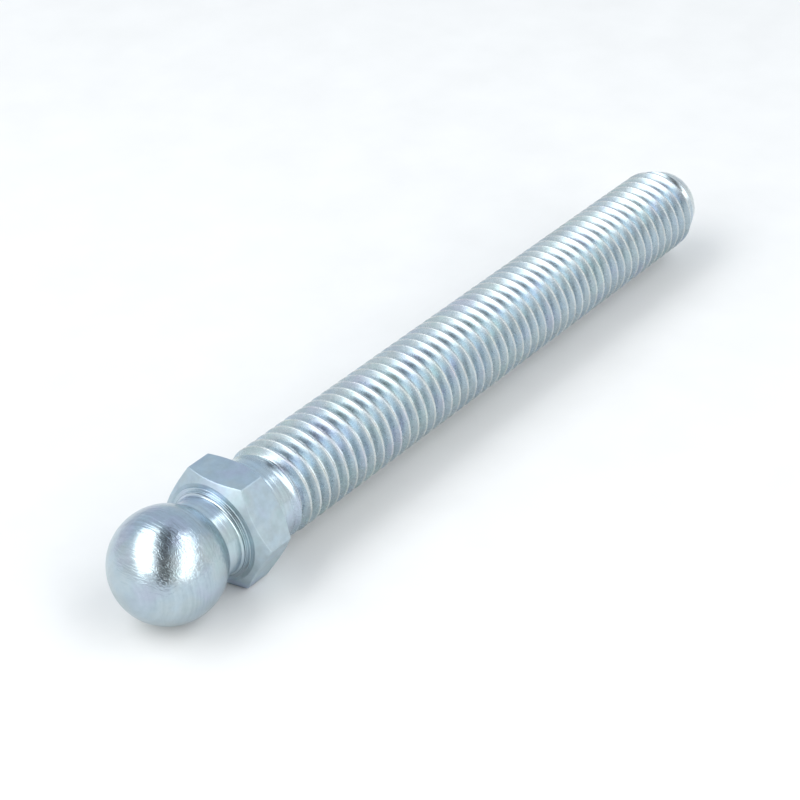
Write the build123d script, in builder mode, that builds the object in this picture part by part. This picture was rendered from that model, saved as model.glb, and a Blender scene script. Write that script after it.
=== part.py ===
from build123d import *
import os
from math import ceil, radians, sqrt, tan

# Ball-ended threaded spindle: one length of steel bar, turned into a ball, a neck and a wrench
# hexagon at one end, with a rolled M12 x 1.75 right-hand thread on the rest.
# Each zone of the bar is a solid of its own, and the zones meet face to face.
# The axis of the bar is X. The origin is the centre of the ball, the thread runs towards +X,
# and +Z is the outward direction of the hexagon's upper flat. Lengths are millimetres.

# Driving dimensions
BALL_DIA = 14.0
ACROSS_FLATS = 14.0
THREAD_DIA = 12.0
PITCH = 1.75
STEM_LENGTH = 100.0  # from the hexagon's front face to the end of the thread

# Radii
BALL_R = BALL_DIA / 2
FLAT_R = ACROSS_FLATS / 2
CORNER_R = ACROSS_FLATS / sqrt(3)
CREST_R = 5.93  # a rolled crest stands a little inside the nominal radius of 6
ROOT_R = THREAD_DIA / 2 - 0.61343 * PITCH
NECK_R = 5.15
COLLAR_INNER_R = 5.55
COLLAR_OUTER_R = 5.95
FRONT_FACE_R = 6.4
REAR_FACE_R = 6.3
REAR_COLLAR_R = 5.8
SHANK_R = 5.5
END_FACE_R = 4.45

# Stations along X
NECK_START = sqrt(BALL_R**2 - NECK_R**2)
COLLAR_START = 7.1
COLLAR_STEP = 7.4
HEX_FRONT = 7.7
HEX_CORNER_REAR = 12.12  # where the hexagon's edges end and its rear chamfer begins
REAR_COLLAR_END = 14.35
SHANK_END = 16.6
STEM_END = HEX_FRONT + STEM_LENGTH

# Small features
NECK_FILLET_R = 0.3
COLLAR_FILLET_R = 0.08
REAR_COLLAR_FILLET_R = 0.1
HEX_CHAMFER = 30.0  # degrees from the hexagon's front and rear faces
START_CHAMFER = 0.8  # length of the thread's first, low crest
LEAD_LENGTH = 3.5  # length of the cone at the thread's end
FLANK = 30.0  # half the thread's 60 degree profile angle
ROOT_WIDTH = PITCH / 6  # flat at the bottom of the thread's groove
CREST_TURN = 139.4  # where the crest stands at the stem's start, in degrees from +Y towards +Z
HELIX_START = 90.0  # where a helix begins before it is turned, from +Y towards +Z
TRIM_MARGIN = 0.3  # how far the stem's trimming body stands outside the crest

os.makedirs("parts", exist_ok=True)

chamfer_slope = tan(radians(HEX_CHAMFER))
hex_rear = HEX_CORNER_REAR + (CORNER_R - REAR_FACE_R) * chamfer_slope

# Ball head: a sphere, cut flat where the neck begins
with BuildPart() as ball_head:
    with BuildSketch(Plane.XZ):
        with BuildLine():
            ThreePointArc((-BALL_R, 0), (0, BALL_R), (NECK_START, NECK_R))
            Polyline((NECK_START, NECK_R), (NECK_START, 0), (-BALL_R, 0))
        make_face()
    revolve(axis=Axis.X)
ball_head.part.label = "ball_head"
export_step(ball_head.part, "parts/ball_head.step")

# Neck: a plain round, with a concave fillet where it meets the front collar
with BuildPart() as neck:
    with BuildSketch(Plane.XZ):
        with BuildLine():
            fillet_start = (COLLAR_START - NECK_FILLET_R, NECK_R)
            fillet_end = (COLLAR_START, NECK_R + NECK_FILLET_R)
            Polyline((NECK_START, 0), (NECK_START, NECK_R), fillet_start)
            TangentArc(fillet_start, fillet_end, tangent=(1, 0))
            Polyline(fillet_end, (COLLAR_START, 0), (NECK_START, 0))
        make_face()
    revolve(axis=Axis.X)
neck.part.label = "neck"
export_step(neck.part, "parts/neck.step")

# Front collar: two fine turned steps between the neck and the hexagon
with BuildPart() as front_collar:
    with BuildSketch(Plane.YZ.offset(COLLAR_START)):
        Circle(COLLAR_INNER_R)
    extrude(amount=COLLAR_STEP - COLLAR_START)
    with BuildSketch(Plane.YZ.offset(COLLAR_STEP)):
        Circle(COLLAR_OUTER_R)
    extrude(amount=HEX_FRONT - COLLAR_STEP)
    rims = front_collar.edges().filter_by(GeomType.CIRCLE).group_by(SortBy.RADIUS)
    fillet([rims[0].sort_by(Axis.X)[0], rims[-1].sort_by(Axis.X)[0]], COLLAR_FILLET_R)
front_collar.part.label = "front_collar"
export_step(front_collar.part, "parts/front_collar.step")

# Wrench hexagon: a hexagonal prism inside a round body that is chamfered front and rear
with BuildPart() as wrench_hexagon:
    with BuildSketch(Plane.XZ):
        with BuildLine():
            Polyline(
                (HEX_FRONT, 0),
                (HEX_FRONT, FRONT_FACE_R),
                (HEX_FRONT + (CORNER_R - FRONT_FACE_R) * chamfer_slope, CORNER_R),
                (HEX_CORNER_REAR, CORNER_R),
                (hex_rear, REAR_FACE_R),
                (hex_rear, 0),
                close=True,
            )
        make_face()
    revolve(axis=Axis.X)
    with BuildSketch(Plane.YZ.offset(HEX_FRONT)):
        RegularPolygon(radius=FLAT_R, side_count=6, major_radius=False)
    extrude(amount=hex_rear - HEX_FRONT, mode=Mode.INTERSECT)
wrench_hexagon.part.label = "wrench_hexagon"
export_step(wrench_hexagon.part, "parts/wrench_hexagon.step")

# Rear collar: the round shoulder behind the hexagon
with BuildPart() as rear_collar:
    with BuildSketch(Plane.YZ.offset(hex_rear)):
        Circle(REAR_COLLAR_R)
    extrude(amount=REAR_COLLAR_END - hex_rear)
    fillet(rear_collar.edges().filter_by(GeomType.CIRCLE).sort_by(Axis.X)[-1], REAR_COLLAR_FILLET_R)
rear_collar.part.label = "rear_collar"
export_step(rear_collar.part, "parts/rear_collar.step")

# Plain shank: the bar at its rolling diameter, before the thread begins
with BuildPart() as plain_shank:
    with BuildSketch(Plane.YZ.offset(REAR_COLLAR_END)):
        Circle(SHANK_R)
    extrude(amount=SHANK_END - REAR_COLLAR_END)
plain_shank.part.label = "plain_shank"
export_step(plain_shank.part, "parts/plain_shank.step")


def helix(x, radius):
    """One turn of a helix of the thread's pitch, starting at this place along X."""
    return Edge.make_helix(PITCH, PITCH, radius, center=(x, 0, 0), normal=(1, 0, 0))


def end_faces(lower_edge):
    """The ramp from the axis out to a turn's lower edge, and the flat step where that turn begins."""
    x = lower_edge.position_at(0).X
    axis_line = Edge.make_line((x, 0, 0), (x + PITCH, 0, 0))
    ramp = Face.make_surface_from_curves(axis_line, lower_edge)
    outline = [(x, 0, 0), *[(x + along, 0, radius) for along, radius in profile], (x + PITCH, 0, 0)]
    return [ramp, Face(Wire.make_polygon(outline, close=True))]


# Threaded stem: strips between helices of the same pitch, turn after turn, closed at both ends
# and then trimmed. The profile of one pitch is a crest, a flank, a root and a flank.
thread_depth = CREST_R - ROOT_R
flank_width = thread_depth * tan(radians(FLANK))
crest_width = PITCH - ROOT_WIDTH - 2 * flank_width
profile = [
    (0, CREST_R),
    (crest_width, CREST_R),
    (crest_width + flank_width, ROOT_R),
    (crest_width + flank_width + ROOT_WIDTH, ROOT_R),
    (PITCH, CREST_R),
]
first_turn = SHANK_END - PITCH - crest_width / 2
turns = ceil((STEM_END - first_turn) / PITCH) + 1

below = helix(first_turn, CREST_R)
thread_faces = end_faces(below)
for turn in range(turns):
    for along, radius in profile[1:]:
        above = helix(first_turn + turn * PITCH + along, radius)
        thread_faces.append(Face.make_surface_from_curves(below, above))
        below = above
thread_faces += end_faces(below)

# the first crest rises from the shank, and the end has a long lead-in cone
start_slope = (CREST_R - SHANK_R) / START_CHAMFER
lead_slope = (CREST_R - END_FACE_R) / LEAD_LENGTH
trim_r = CREST_R + TRIM_MARGIN

with BuildPart() as threaded_stem:
    add(Solid(Shell(thread_faces)), rotation=(CREST_TURN - HELIX_START, 0, 0))
    with BuildSketch(Plane.XZ):
        with BuildLine():
            Polyline(
                (SHANK_END, 0),
                (SHANK_END, SHANK_R),
                (SHANK_END + (trim_r - SHANK_R) / start_slope, trim_r),
                (STEM_END - (trim_r - END_FACE_R) / lead_slope, trim_r),
                (STEM_END, END_FACE_R),
                (STEM_END, 0),
                close=True,
            )
        make_face()
    revolve(axis=Axis.X, mode=Mode.INTERSECT)
threaded_stem.part.label = "threaded_stem"
export_step(threaded_stem.part, "parts/threaded_stem.step")
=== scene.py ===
from math import atan2, cos, pi, radians, sin, sqrt, tan

import bmesh
import bpy
from mathutils import Matrix, Vector


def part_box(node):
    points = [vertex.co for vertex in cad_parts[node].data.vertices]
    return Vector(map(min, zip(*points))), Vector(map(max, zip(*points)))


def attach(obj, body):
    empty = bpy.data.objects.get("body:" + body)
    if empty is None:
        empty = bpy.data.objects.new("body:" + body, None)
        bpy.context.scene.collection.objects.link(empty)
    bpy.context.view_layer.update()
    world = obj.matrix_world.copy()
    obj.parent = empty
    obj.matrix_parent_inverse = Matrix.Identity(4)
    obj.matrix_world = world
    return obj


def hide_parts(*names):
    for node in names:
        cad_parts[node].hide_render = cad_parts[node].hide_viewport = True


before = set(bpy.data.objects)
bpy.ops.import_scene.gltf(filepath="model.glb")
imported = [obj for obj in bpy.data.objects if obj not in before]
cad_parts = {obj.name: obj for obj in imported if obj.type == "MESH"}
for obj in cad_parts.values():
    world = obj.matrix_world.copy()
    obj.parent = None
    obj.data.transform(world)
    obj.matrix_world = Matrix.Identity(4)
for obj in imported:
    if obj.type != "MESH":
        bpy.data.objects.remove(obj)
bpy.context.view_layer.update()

# The mesh code below works in millimetres, and new_piece turns them into metres.
MM = 0.001
BODY = "root"

# ---------------------------------------------------------------- sizes, read from the frame


def span(node):
    """Where a CAD node starts and ends along X, and its largest radius, in millimetres."""
    low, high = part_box(node)
    return low[0] / MM, high[0] / MM, max(high[1], high[2]) / MM


ball_front, neck_start, _ = span("ball_head")
_, neck_end, _ = span("neck")
_, hex_front, collar_r = span("front_collar")
_, hex_rear, _ = span("wrench_hexagon")
_, rear_collar_end, rear_collar_r = span("rear_collar")
_, shank_end, shank_r = span("plain_shank")
_, stem_end, crest_r = span("threaded_stem")

ball_r = -ball_front
neck_r = sqrt(ball_r**2 - neck_start**2)
flat_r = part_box("wrench_hexagon")[1][2] / MM
floor_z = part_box("wrench_hexagon")[0][2]

PITCH = 1.75
ROOT_DEPTH = 1.0035  # from the crest to the bottom of the groove
CREST_HALF = 0.13  # half the width of the crest's land
ROOT_HALF = PITCH / 12
CREST_TURN = radians(139.4)  # where the crest stands at the shank's end, from +Y towards +Z
LEAD_LENGTH = 3.5
END_FACE_R = 4.45
FRONT_FACE_R = 6.4
REAR_FACE_R = 6.3
HEX_CHAMFER = tan(radians(30))

# ---------------------------------------------------------------- mesh helpers


SAME_PLACE = 1e-8  # metres


def clean(mesh):
    """Merges vertices that lie on each other, and drops those that no face uses."""
    shape = bmesh.new()
    shape.from_mesh(mesh)
    bmesh.ops.remove_doubles(shape, verts=shape.verts, dist=SAME_PLACE)
    unused = [vertex for vertex in shape.verts if not vertex.link_faces]
    bmesh.ops.delete(shape, geom=unused, context="VERTS")
    shape.to_mesh(mesh)
    shape.free()


def new_piece(name, vertices, faces, node, sharp=40):
    """Makes a smooth-shaded piece from millimetre vertices, standing for one CAD node."""
    mesh = bpy.data.meshes.new(name)
    mesh.from_pydata([(x * MM, y * MM, z * MM) for x, y, z in vertices], [], faces)
    mesh.validate()
    clean(mesh)
    mesh.shade_smooth()
    mesh.set_sharp_from_angle(angle=radians(sharp))
    piece = bpy.data.objects.new(name, mesh)
    bpy.context.scene.collection.objects.link(piece)
    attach(piece, BODY)
    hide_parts(node)
    return piece


SUPPORT = 0.012  # how far a supporting point stands from the end of an arc


def rounded(corners, steps=6):
    """The points of a half section, whose (x, radius, rounding) corners are rounded by arcs.

    A point a little way before and after each arc keeps the shading of the flats beside it flat.
    """
    points = []
    for i, (x, r, rounding) in enumerate(corners):
        here = Vector((x, r))
        if rounding == 0:
            points.append((x, r))
            continue
        back = (Vector(corners[i - 1][:2]) - here).normalized()
        onward = (Vector(corners[i + 1][:2]) - here).normalized()
        half = back.angle(onward) / 2
        centre = here + (back + onward).normalized() * rounding / sin(half)
        start = here + back * rounding / tan(half) - centre
        end = here + onward * rounding / tan(half) - centre
        before = centre + start + back * SUPPORT
        after = centre + end + onward * SUPPORT
        points.append((before.x, before.y))
        for k in range(steps + 1):
            point = centre + start.slerp(end, k / steps).normalized() * rounding
            points.append((point.x, point.y))
        points.append((after.x, after.y))
    return points


def ball_arc(first, last, steps):
    """Points on the ball's outline between two angles, measured from the -X end."""
    angles = [first + (last - first) * k / steps for k in range(steps + 1)]
    return [(-ball_r * cos(a), ball_r * sin(a)) for a in angles]


def turned(name, outline, node, sides=288):
    """A closed body of revolution about X. The outline runs from one end to the other."""
    vertices = [(outline[0][0], 0, 0)]
    for x, r in outline:
        for k in range(sides):
            a = 2 * pi * k / sides
            vertices.append((x, r * cos(a), r * sin(a)))
    vertices.append((outline[-1][0], 0, 0))
    last = len(vertices) - 1
    faces = []
    for k in range(sides):
        n = (k + 1) % sides
        faces.append((0, 1 + n, 1 + k))
        for row in range(len(outline) - 1):
            a = 1 + row * sides
            b = a + sides
            faces.append((a + k, a + n, b + n, b + k))
        faces.append((last, last - sides + k, last - sides + n))
    return new_piece(name, vertices, faces, node)


def soft_min(a, b, width):
    """The smaller of two values, blended where they are within this width of each other."""
    overlap = max(width - abs(a - b), 0) / width
    return min(a, b) - overlap * overlap * width / 4


# ---------------------------------------------------------------- materials


def nodes_of(material):
    """The emptied node tree of a material or world, and a function that adds a node to it."""
    material.use_nodes = True
    tree = material.node_tree
    tree.nodes.clear()

    def add(kind, **values):
        node = tree.nodes.new(kind)
        for key, value in values.items():
            if key in node.inputs:
                node.inputs[key].default_value = value
            else:
                setattr(node, key, value)
        return node

    return tree, add


def ramp(add, stops, interpolation="LINEAR"):
    """A colour ramp with these (place, colour) stops, in order."""
    node = add("ShaderNodeValToRGB")
    node.color_ramp.interpolation = interpolation
    while len(node.color_ramp.elements) < len(stops):
        node.color_ramp.elements.new(0.5)
    for element, (place, colour) in zip(node.color_ramp.elements, stops):
        element.position = place
        element.color = (*colour, 1)
    return node


GRIT_SHARE = 0.25  # depth of the fine grit, as a share of the turning marks
SCRATCH_SHARE = 1.5  # and of the scratches
SPOT_SHARE = 0.1  # one in ten of the spots' cells has a spot
SPOT_TONE = (0.22, 0.18, 0.15, 1)


def zinc(name, base, roughness, metallic, relief, lathe=True, scratched=False, tones=None):
    """Blue-passivated zinc on steel.

    roughness is its lowest and highest value, and relief the depth of its marks in metres.
    tones paints light into the colour by the distance from the bar's axis, over the thread's
    depth: a painted highlight on the crests, and painted light in the roots against the shade of
    the grooves.
    """
    material = bpy.data.materials.new(name)
    tree, add = nodes_of(material)
    link = tree.links.new
    out = add("ShaderNodeOutputMaterial")
    shader = add("ShaderNodeBsdfPrincipled", Metallic=metallic)
    link(shader.outputs["BSDF"], out.inputs["Surface"])
    where = add("ShaderNodeTexCoord").outputs["Object"]

    def noise(scale, detail, stretch=(1, 1, 1), turn=(0, 0, 0)):
        """Noise over the object, as a number from 0 to 1."""
        mapping = add("ShaderNodeMapping")
        mapping.inputs["Scale"].default_value = stretch
        mapping.inputs["Rotation"].default_value = turn
        link(where, mapping.inputs["Vector"])
        texture = add("ShaderNodeTexNoise", Scale=scale, Detail=detail, Roughness=0.6)
        link(mapping.outputs["Vector"], texture.inputs["Vector"])
        return texture.outputs["Fac"]

    def between(value, low, high):
        """The value's range from 0 to 1, moved to run from low to high."""
        node = add("ShaderNodeMapRange")
        node.inputs["To Min"].default_value = low
        node.inputs["To Max"].default_value = high
        link(value, node.inputs["Value"])
        return node.outputs["Result"]

    def mixed(kind, factor, first, second):
        """Two colours mixed. The factor and the second colour may be values or links."""
        node = add("ShaderNodeMix", data_type="RGBA", blend_type=kind)
        for socket, value in (("Factor", factor), ("A", first), ("B", second)):
            if isinstance(value, bpy.types.NodeSocket):
                link(value, node.inputs[socket])
            else:
                node.inputs[socket].default_value = value
        return node.outputs["Result"]

    # slow drifts of tint, as a thin passivation film has: lilac, blue, teal and a trace of straw
    film = ramp(
        add,
        [
            (0.30, (base[0] * 0.97, base[1] * 0.94, base[2] * 1.04)),
            (0.44, (base[0] * 0.95, base[1] * 0.99, base[2] * 1.03)),
            (0.54, base),
            (0.66, (base[0] * 0.96, base[1] * 1.02, base[2] * 1.00)),
            (0.78, (base[0] * 1.05, base[1] * 1.03, base[2] * 0.95)),
        ],
    )
    link(noise(210.0, 2.0), film.inputs["Fac"])
    colour = film.outputs["Color"]

    # turning marks or rolling marks show as fine lighter and darker lines round the bar
    streaks = noise(2600.0, 3.0, (1.0, 0.05, 0.05)) if lathe else noise(900.0, 4.0)
    cloud = noise(1500.0, 4.0)
    colour = mixed("MULTIPLY", 1.0, colour, between(streaks, 0.80, 1.16))
    colour = mixed("MULTIPLY", 1.0, colour, between(cloud, 0.88, 1.10))

    # painted light: a lighter painted highlight on the crests, and the roots lightened as
    # painted light against the shade in the grooves
    if tones:
        across = add("ShaderNodeVectorMath", operation="MULTIPLY")
        link(where, across.inputs[0])
        across.inputs[1].default_value = (0, 1, 1)
        distance = add("ShaderNodeVectorMath", operation="LENGTH")
        link(across.outputs["Vector"], distance.inputs[0])
        height = add("ShaderNodeMapRange")
        height.inputs["From Min"].default_value = (crest_r - ROOT_DEPTH) * MM
        height.inputs["From Max"].default_value = crest_r * MM
        link(distance.outputs["Value"], height.inputs["Value"])
        tone = ramp(add, tones)
        link(height.outputs["Result"], tone.inputs["Fac"])
        colour = mixed("MULTIPLY", 1.0, colour, tone.outputs["Color"])

    # a few small dull spots
    spots = add("ShaderNodeTexVoronoi", Scale=230.0, Randomness=1.0)
    link(where, spots.inputs["Vector"])
    spot = ramp(add, [(0.03, (1, 1, 1)), (0.07, (0, 0, 0))])
    link(spots.outputs["Distance"], spot.inputs["Fac"])
    cell = add("ShaderNodeSeparateColor")
    link(spots.outputs["Color"], cell.inputs["Color"])
    chosen = add("ShaderNodeMath", operation="GREATER_THAN")
    chosen.inputs[1].default_value = 1 - SPOT_SHARE
    link(cell.outputs["Red"], chosen.inputs[0])
    amount = add("ShaderNodeMath", operation="MULTIPLY")
    link(spot.outputs["Color"], amount.inputs[0])
    link(chosen.outputs["Value"], amount.inputs[1])
    colour = mixed("MIX", amount.outputs["Value"], colour, SPOT_TONE)
    link(colour, shader.inputs["Base Color"])
    link(between(cloud, *roughness), shader.inputs["Roughness"])

    # relief: rings or drawn texture, fine grit, and scratches that run every way
    marks = [(noise(5200.0, 3.0, (1.0, 0.012, 0.012) if lathe else (1, 1, 1)), relief)]
    marks.append((noise(3800.0, 3.0), relief * GRIT_SHARE))
    if scratched:
        for turn in ((0.3, 0.5, 0.9), (1.1, -0.4, 0.2), (-0.6, 0.9, -0.5)):
            lines = ramp(add, [(0.46, (0, 0, 0)), (0.50, (1, 1, 1)), (0.54, (0, 0, 0))])
            link(noise(1500.0, 1.0, (1.0, 0.06, 1.0), turn), lines.inputs["Fac"])
            marks.append((lines.outputs["Color"], relief * SCRATCH_SHARE))
    normal = None
    for value, depth in marks:
        bump = add("ShaderNodeBump", Strength=1.0, Distance=depth)
        link(value, bump.inputs["Height"])
        if normal:
            link(normal, bump.inputs["Normal"])
        normal = bump.outputs["Normal"]
    link(normal, shader.inputs["Normal"])
    return material


# the thread's painted light by depth: a painted highlight at the crests and painted light in the
# roots against their shade, around the flanks' tint
CREST_PAINTED_HIGHLIGHT = (1, 1, 1)
FLANK_TONE = (0.77, 0.85, 0.92)
ROOT_PAINTED_LIGHT = (0.95, 0.98, 1.0)
TURNED = zinc("turned_zinc_finish", (0.51, 0.60, 0.65), (0.15, 0.25), 0.94, 16e-6)
BALL = zinc("ball_zinc_finish", (0.46, 0.54, 0.58), (0.18, 0.28), 0.95, 4e-6, scratched=True)
HEXAGON = zinc("hexagon_zinc_finish", (0.44, 0.53, 0.58), (0.38, 0.50), 0.88, 5e-6, lathe=False)
THREAD = zinc(
    "thread_zinc_with_painted_light",
    (0.61, 0.65, 0.65),
    (0.20, 0.34),
    0.92,
    8e-6,
    tones=[(0.05, ROOT_PAINTED_LIGHT), (0.40, FLANK_TONE), (0.90, FLANK_TONE), (0.96, CREST_PAINTED_HIGHLIGHT)],
)

# ---------------------------------------------------------------- pieces

# Ball, with the small hollow where the tool ran off it into the neck
JUNCTION_R = 0.35
JUNCTION_STEPS = 8
hollow_x = sqrt((ball_r + JUNCTION_R) ** 2 - (neck_r + JUNCTION_R) ** 2)
hollow_start = pi - atan2(neck_r + JUNCTION_R, hollow_x)
hollow = []
for k in range(JUNCTION_STEPS + 1):
    turn = (hollow_start - pi / 2) * (1 - k / JUNCTION_STEPS)
    hollow.append((hollow_x - JUNCTION_R * sin(turn), neck_r + JUNCTION_R * (1 - cos(turn))))
ball_outline = ball_arc(0.004, hollow_start, 180) + hollow
ball = turned("ball", ball_outline, "ball_head")
ball.data.materials.append(BALL)

# Neck, with a fillet that ends just short of the front collar's face
NECK_FILLET_R = 0.28
fillet_end = neck_end - 0.02
neck_outline = rounded(
    [
        (hollow_x, neck_r, 0),
        (fillet_end, neck_r, NECK_FILLET_R),
        (fillet_end, neck_r + NECK_FILLET_R + 0.03, 0),
    ],
    10,
)
neck = turned("neck_round", neck_outline, "neck")
neck.data.materials.append(TURNED)

# Front collar: two fine steps
STEP_LENGTH = 0.3
STEP_HEIGHT = 0.4
step_x = neck_end + STEP_LENGTH
inner_r = collar_r - STEP_HEIGHT
collar_outline = rounded(
    [
        (neck_end, neck_r + NECK_FILLET_R, 0),
        (neck_end, inner_r, 0.05),
        (step_x, inner_r, 0.04),
        (step_x, collar_r, 0.06),
        (hex_front, collar_r, 0),
    ]
)
collar = turned("front_steps", collar_outline, "front_collar")
collar.data.materials.append(TURNED)


# Hexagon, with its edges blended over these widths
HEX_EDGE_BLEND = 0.16
CHAMFER_BLEND = 0.14
EDGE_REACH = 0.12  # how far the closely spaced rows reach to each side of a chamfer's edge


def hexagon_r(angle):
    """The hexagon's radius in this direction, with its edges a little rounded."""
    off = (angle + pi / 6) % (pi / 3) - pi / 6
    near = flat_r / cos(off)
    beside = flat_r / cos(pi / 3 - abs(off))
    return soft_min(near, beside, HEX_EDGE_BLEND)


def hexagon_piece(sides=720):
    """The chamfered hexagon. Its rows follow the curved edges between flats and chamfers."""
    edge_steps = [-EDGE_REACH, -0.08, -0.05, -0.025, 0, 0.025, 0.05, 0.08, EDGE_REACH]
    vertices = [(hex_front, 0, 0)]
    columns = []
    for k in range(sides):
        angle = 2 * pi * k / sides + pi / 2
        side_r = hexagon_r(angle - pi / 2)
        front_edge = hex_front + (side_r - FRONT_FACE_R) * HEX_CHAMFER
        rear_edge = hex_rear - (side_r - REAR_FACE_R) * HEX_CHAMFER
        front_run = front_edge - EDGE_REACH - hex_front
        flat_run = rear_edge - front_edge - 2 * EDGE_REACH
        rear_run = hex_rear - rear_edge - EDGE_REACH
        stations = [hex_front + front_run * i / 5 for i in range(5)]
        stations += [front_edge + step for step in edge_steps]
        stations += [front_edge + EDGE_REACH + flat_run * i / 12 for i in range(1, 12)]
        stations += [rear_edge + step for step in edge_steps]
        stations += [rear_edge + EDGE_REACH + rear_run * i / 5 for i in range(1, 6)]
        column = []
        for x in stations:
            front_cone = FRONT_FACE_R + (x - hex_front) / HEX_CHAMFER
            rear_cone = REAR_FACE_R + (hex_rear - x) / HEX_CHAMFER
            r = soft_min(soft_min(side_r, front_cone, CHAMFER_BLEND), rear_cone, CHAMFER_BLEND)
            column.append(len(vertices))
            vertices.append((x, r * cos(angle), r * sin(angle)))
        columns.append(column)
    vertices.append((hex_rear, 0, 0))
    last = len(vertices) - 1
    faces = []
    for k, column in enumerate(columns):
        following = columns[(k + 1) % sides]
        faces.append((0, following[0], column[0]))
        for a, b, c, d in zip(column, following, following[1:], column[1:]):
            faces.append((a, b, c, d))
        faces.append((last, column[-1], following[-1]))
    return new_piece("hexagon", vertices, faces, "wrench_hexagon", 25)


hexagon = hexagon_piece()
hexagon.data.materials.append(HEXAGON)

# Rear collar and plain shank, which reach a little way into each other
OVERLAP = 0.3
rear_outline = rounded(
    [
        (hex_rear, rear_collar_r, 0),
        (rear_collar_end, rear_collar_r, 0.12),
        (rear_collar_end, shank_r - OVERLAP, 0),
    ]
)
rear = turned("rear_shoulder", rear_outline, "rear_collar")
rear.data.materials.append(TURNED)

shank_join = shank_end - 1.0  # where the shank's surface becomes the stem's
shank_outline = [(rear_collar_end - OVERLAP, shank_r), (shank_join, shank_r)]
shank = turned("shank", shank_outline, "plain_shank")
shank.data.materials.append(TURNED)


# Thread. The stem's own surface begins at shank_join, and its first groove fades in from there
TINY = 1e-6
FADE_LENGTH = 2.2
CONE_BLEND = 0.12
TURNS_BEFORE = 3  # turns laid before the shank's end, and again after the stem's
fade_start = shank_join + 0.1


def ease(value):
    """A smooth rise from 0 to 1 as the value goes from 0 to 1."""
    value = min(max(value, 0), 1)
    return value * value * (3 - 2 * value)


def thread_profile():
    """(offset along X, radius) over one pitch, from one crest's land to just before the next."""
    root_r = crest_r - ROOT_DEPTH
    half = rounded(
        [
            (0, crest_r, 0),
            (CREST_HALF, crest_r, 0.06),
            (PITCH / 2 - ROOT_HALF, root_r, 0.17),
            (PITCH / 2, root_r, 0),
        ],
        2,
    )[1:-1]
    other = [(PITCH - x, r) for x, r in half[::-1]]
    return half + other


def stem_piece(sides=84):
    """The rolled thread as one helical grid, so that its rows run along the crests."""
    profile = thread_profile()
    rows_per_turn = len(profile)
    first_crest = shank_end - PITCH * CREST_TURN / (2 * pi)
    turns = int((stem_end - first_crest) / PITCH) + 2 * TURNS_BEFORE
    cone_slope = (crest_r - END_FACE_R) / LEAD_LENGTH
    vertices = []
    for turn in range(turns):
        for offset, profile_r in profile:
            for k in range(sides):
                share = k / sides
                x = first_crest + (turn - TURNS_BEFORE + share) * PITCH + offset
                grown = ease((x - fade_start) / FADE_LENGTH)
                r = shank_r + (profile_r - shank_r) * grown
                cone_r = END_FACE_R + (stem_end - x) * cone_slope
                r = soft_min(r, cone_r, CONE_BLEND)
                x = min(max(x, shank_join), stem_end)
                angle = 2 * pi * share
                vertices.append((x, r * cos(angle), r * sin(angle)))
    rows = turns * rows_per_turn
    faces = []
    for row in range(rows - 1):
        for k in range(sides):
            a = row * sides + k
            if k < sides - 1:
                faces.append((a, a + 1, a + 1 + sides, a + sides))
            elif row + rows_per_turn < rows - 1:
                b = (row + rows_per_turn) * sides
                faces.append((a, b, b + sides, a + sides))
    return vertices, faces


def inside_stem(vertices, face):
    """Whether the face has any length along X between the stem's two ends."""
    xs = [vertices[i][0] for i in face]
    return max(xs) - shank_join > TINY and stem_end - min(xs) > TINY


def cap_ends(vertices, faces):
    """Closes the stem's two open ends, each with a fan of triangles round the axis."""
    edges = {edge for face in faces for edge in zip(face, face[1:] + face[:1])}
    open_edges = sorted((a, b) for a, b in edges if (b, a) not in edges)
    for end_x in (shank_join, stem_end):
        centre = len(vertices)
        vertices.append((end_x, 0, 0))
        for a, b in open_edges:
            if abs(vertices[a][0] - end_x) < TINY and abs(vertices[b][0] - end_x) < TINY:
                faces.append((b, a, centre))


stem_vertices, stem_faces = stem_piece()
stem_faces = [face for face in stem_faces if inside_stem(stem_vertices, face)]
cap_ends(stem_vertices, stem_faces)
stem = new_piece("thread", stem_vertices, stem_faces, "threaded_stem", 30)
stem.data.materials.append(THREAD)

# ---------------------------------------------------------------- floor, lights and camera


def softbox(name, top, bottom, width, power):
    """A long rectangular light between two points, facing the ball at the origin."""
    top, bottom = Vector(top), Vector(bottom)
    middle = (top + bottom) / 2
    along = (top - bottom).normalized()
    outward = (middle - along * middle.dot(along)).normalized()
    data = bpy.data.lights.new(name, "AREA")
    data.shape = "RECTANGLE"
    data.size = width
    data.size_y = (top - bottom).length
    data.energy = power
    light = bpy.data.objects.new(name, data)
    turn = Matrix((along.cross(outward), along, outward)).transposed()
    light.matrix_world = Matrix.Translation(middle) @ turn.to_4x4()
    light.visible_camera = False
    bpy.context.scene.collection.objects.link(light)


FLOOR_HALF = 3.0
FLOOR_DROP = 0.0002  # keeps the paper clear of the flat that lies on it


def floor():
    """A plain sheet of pale paper just under the part."""
    mesh = bpy.data.meshes.new("floor")
    signs = [(-1, -1), (1, -1), (1, 1), (-1, 1)]
    corners = [(x * FLOOR_HALF, y * FLOOR_HALF, floor_z - FLOOR_DROP) for x, y in signs]
    mesh.from_pydata(corners, [], [(0, 1, 2, 3)])
    plane = bpy.data.objects.new("floor", mesh)
    bpy.context.scene.collection.objects.link(plane)
    material = bpy.data.materials.new("floor_paper")
    tree, add = nodes_of(material)
    out = add("ShaderNodeOutputMaterial")
    shader = add("ShaderNodeBsdfPrincipled", Roughness=0.9)
    shader.inputs["Specular IOR Level"].default_value = 0.1
    grain = add("ShaderNodeTexNoise", Scale=600.0, Detail=3.0)
    tone = ramp(add, [(0.3, (0.80, 0.80, 0.79)), (0.7, (0.83, 0.83, 0.82))])
    tree.links.new(grain.outputs["Fac"], tone.inputs["Fac"])
    tree.links.new(tone.outputs["Color"], shader.inputs["Base Color"])
    tree.links.new(shader.outputs["BSDF"], out.inputs["Surface"])
    mesh.materials.append(material)


floor()

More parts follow.
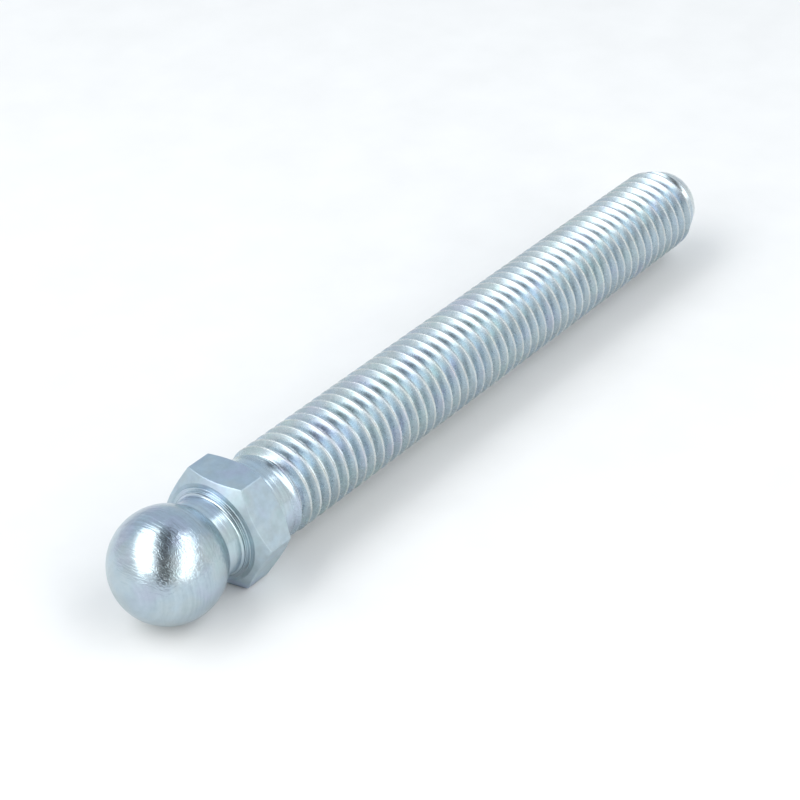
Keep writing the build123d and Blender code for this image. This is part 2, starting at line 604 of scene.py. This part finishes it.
# the studio's tones, and the directions in which its parts lie
TENT_SIDE = (0.90, 0.90, 0.90)
TENT_TOP = (0.66, 0.74, 0.83)
TONE_OPEN = (1, 1, 1)
TONE_SLOT = (0.03, 0.03, 0.035)
OVERHEAD = (0.45, 0.35, 0.82)
SLOT_ACROSS = (0.59, -0.80, -0.01)
SLOT_MIDDLE = (-0.52, -0.42, 0.74)


def studio_world():
    """A white tent, greyer overhead, with a dark slot between the softboxes where it opens."""
    world = bpy.data.worlds.new("studio")
    bpy.context.scene.world = world
    tree, add = nodes_of(world)
    link = tree.links.new
    out = add("ShaderNodeOutputWorld")
    shader = add("ShaderNodeBackground", Strength=1.0)
    link(shader.outputs["Background"], out.inputs["Surface"])
    direction = add("ShaderNodeTexCoord").outputs["Generated"]

    def facing(towards, stops):
        """A tone that depends on how nearly a direction faces this way."""
        dot = add("ShaderNodeVectorMath", operation="DOT_PRODUCT")
        link(direction, dot.inputs[0])
        dot.inputs[1].default_value = Vector(towards).normalized()
        scaled = add("ShaderNodeMapRange")
        scaled.inputs["From Min"].default_value = -1.0
        link(dot.outputs["Value"], scaled.inputs["Value"])
        tone = ramp(add, stops, "EASE")
        link(scaled.outputs["Result"], tone.inputs["Fac"])
        return tone.outputs["Color"]

    tent = facing(OVERHEAD, [(0.62, TENT_SIDE), (0.90, TENT_TOP)])
    across = facing(
        SLOT_ACROSS,
        [(0.36, TONE_OPEN), (0.44, TONE_SLOT), (0.56, TONE_SLOT), (0.64, TONE_OPEN)],
    )
    reach = facing(SLOT_MIDDLE, [(0.70, TONE_OPEN), (0.82, TONE_SLOT)])
    slot = add("ShaderNodeMix", data_type="RGBA", blend_type="LIGHTEN")
    slot.inputs["Factor"].default_value = 1.0
    link(across, slot.inputs["A"])
    link(reach, slot.inputs["B"])
    shaded = add("ShaderNodeMix", data_type="RGBA", blend_type="MULTIPLY")
    shaded.inputs["Factor"].default_value = 1.0
    link(tent, shaded.inputs["A"])
    link(slot.outputs["Result"], shaded.inputs["B"])
    link(shaded.outputs["Result"], shader.inputs["Color"])


studio_world()

softbox("left_softbox", (0.025, 0.323, 0.505), (-0.574, -0.043, 0.168), 0.29, 1.75)
softbox("right_softbox", (0.292, -0.147, 0.503), (-0.189, -0.567, 0.059), 0.21, 1.2)

CAMERA_AT = Vector((-0.14673, -0.14748, 0.15487))
LOOKS_AT = Vector((0.0431, -0.0003, -0.0003))
CAMERA_ROLL = radians(1.13)
camera_data = bpy.data.cameras.new("camera")
camera_data.sensor_width = 36
camera_data.lens = 102.3
camera = bpy.data.objects.new("camera", camera_data)
camera.location = CAMERA_AT
aim = (LOOKS_AT - CAMERA_AT).to_track_quat("-Z", "Y").to_matrix()
camera.rotation_euler = (aim @ Matrix.Rotation(-CAMERA_ROLL, 3, "Z")).to_euler()
camera_data.clip_start = 0.005
bpy.context.scene.collection.objects.link(camera)
bpy.context.scene.camera = camera

bpy.context.scene.view_settings.view_transform = "Standard"
